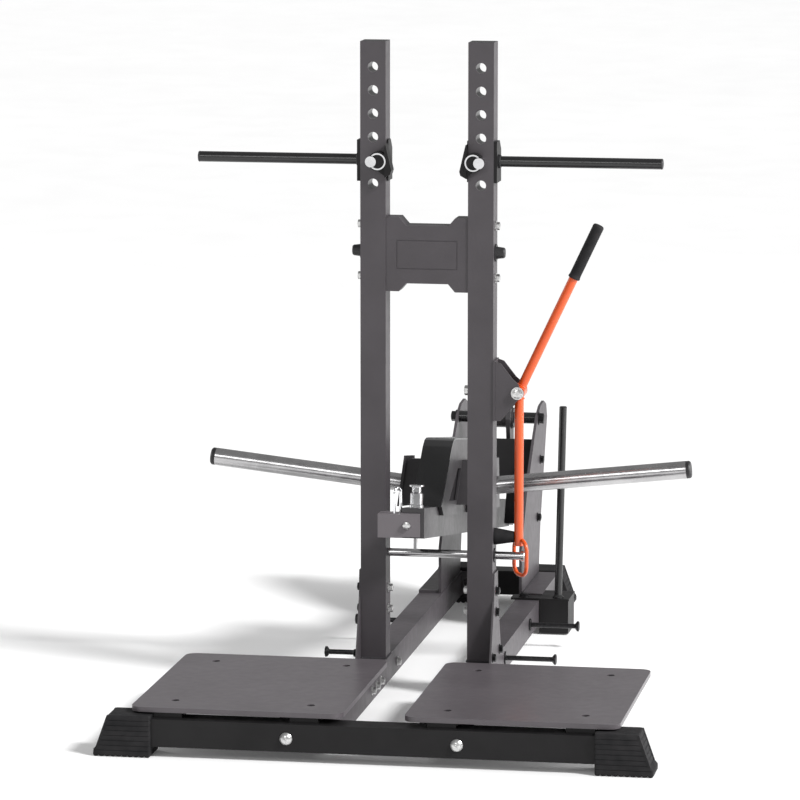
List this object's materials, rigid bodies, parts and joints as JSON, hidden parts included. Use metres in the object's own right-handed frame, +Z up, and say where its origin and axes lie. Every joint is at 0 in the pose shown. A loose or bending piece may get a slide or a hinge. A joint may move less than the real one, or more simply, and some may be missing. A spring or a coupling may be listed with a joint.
{
  "type": "belt squat machine",
  "caption": "Plate-loaded lever-arm squat machine with foot plates, height-set side handles, a pivoting loaded arm with a belt ring, and a hand lever that draws the safety rod.",
  "frame": {"origin": "on the floor, at the middle of the footprint", "axes": "+X to the right of someone looking at the front, +Y from the foot plates to the pivot towers, +Z up"},
  "size_m": [1.464, 2.332, 1.8],
  "materials": {
    "frame_paint": "textured powder coat",
    "arm_paint": "textured powder coat",
    "rubber": "matt ribbed",
    "orange_paint": "gloss powder coat",
    "chrome": "polished",
    "zinc": "zinc plated",
    "black_steel": "black oxide",
    "black_plastic": "moulded"
  },
  "bodies": {
    "frame": {"band_pegs": "black_steel", "beam_bolts": "zinc", "crossmember_panel": "frame_paint", "frame_bolts": "black_steel", "frame_nuts": "zinc", "front_beam": "frame_paint", "front_left_foot": "rubber", "front_right_foot": "rubber", "handle_rings": "chrome", "hanger_knobs": "black_plastic", "left_foot_plate": "frame_paint", "left_handle_bar": "frame_paint", "left_handle_bracket": "frame_paint", "left_rail": "frame_paint", "left_tower": "frame_paint", "left_upright": "frame_paint", "lever_bolt": "zinc", "lever_bumper": "rubber", "lever_clevis": "frame_paint", "pivot_axle": "black_steel", "plate_screws": "black_steel", "plate_supports": "frame_paint", "rail_flanges": "frame_paint", "rear_beam": "frame_paint", "rear_left_foot": "rubber", "rear_right_foot": "rubber", "right_foot_plate": "frame_paint", "right_handle_bar": "frame_paint", "right_handle_bracket": "frame_paint", "right_rail": "frame_paint", "right_tower": "frame_paint", "right_upright": "frame_paint", "rod_bushes": "black_steel", "storage_bracket": "frame_paint", "storage_post": "frame_paint", "tower_bolts": "black_steel", "tower_brace": "frame_paint", "upright_caps": "black_plastic", "upright_gussets": "frame_paint"},
    "arm": {"arm_end_bolt": "zinc", "arm_end_bracket": "arm_paint", "arm_tube": "arm_paint", "belt_hook": "chrome", "carriage_cover": "arm_paint", "horn_caps": "black_plastic", "horn_carrier": "arm_paint", "left_arm_link": "arm_paint", "left_carriage_plate": "arm_paint", "left_horn": "chrome", "pivot_hub": "arm_paint", "right_arm_link": "arm_paint", "right_carriage_plate": "arm_paint", "right_horn": "chrome"},
    "lever": {"lever_arm": "orange_paint", "lever_grip": "rubber", "lever_loop": "orange_paint"},
    "arm_pin": {"arm_pin": "chrome"},
    "lock_rod": {"lock_rod": "chrome"},
    "left_handle_pin": {"left_handle_pin": "chrome"},
    "right_handle_pin": {"right_handle_pin": "chrome"}
  },
  "joints": [
    {"name": "arm_pivot", "type": "hinge", "parent": "frame", "child": "arm", "pos_m": [0, 0.984, 0.58], "axis": [-1, 0, 0], "range_deg": [-1.6, 10]},
    {"name": "lever_pivot", "type": "hinge", "parent": "frame", "child": "lever", "pos_m": [0.25, -0.266, 0.849], "axis": [0, -1, 0], "range_deg": [0, 18]},
    {"name": "lock_rod_slide", "type": "slide", "parent": "frame", "child": "lock_rod", "axis": [1, 0, 0], "range_m": [0, 0.15]},
    {"name": "left_handle_pin_slide", "type": "slide", "parent": "frame", "child": "left_handle_pin", "axis": [0, -1, 0], "range_m": [0, 0.03], "stiffness_N_per_m": 400, "springref_m": -0.02},
    {"name": "right_handle_pin_slide", "type": "slide", "parent": "frame", "child": "right_handle_pin", "axis": [0, -1, 0], "range_m": [0, 0.03], "stiffness_N_per_m": 400, "springref_m": -0.02},
    {"name": "arm_pin_slide", "type": "slide", "parent": "arm", "child": "arm_pin", "axis": [0, 0.153, 0.9882], "range_m": [0, 0.03], "stiffness_N_per_m": 400, "springref_m": -0.02}
  ],
  "couplings": [
    {"joint": "lock_rod_slide", "follows": "lever_pivot", "m_per_rad": 0.4774}
  ]
}
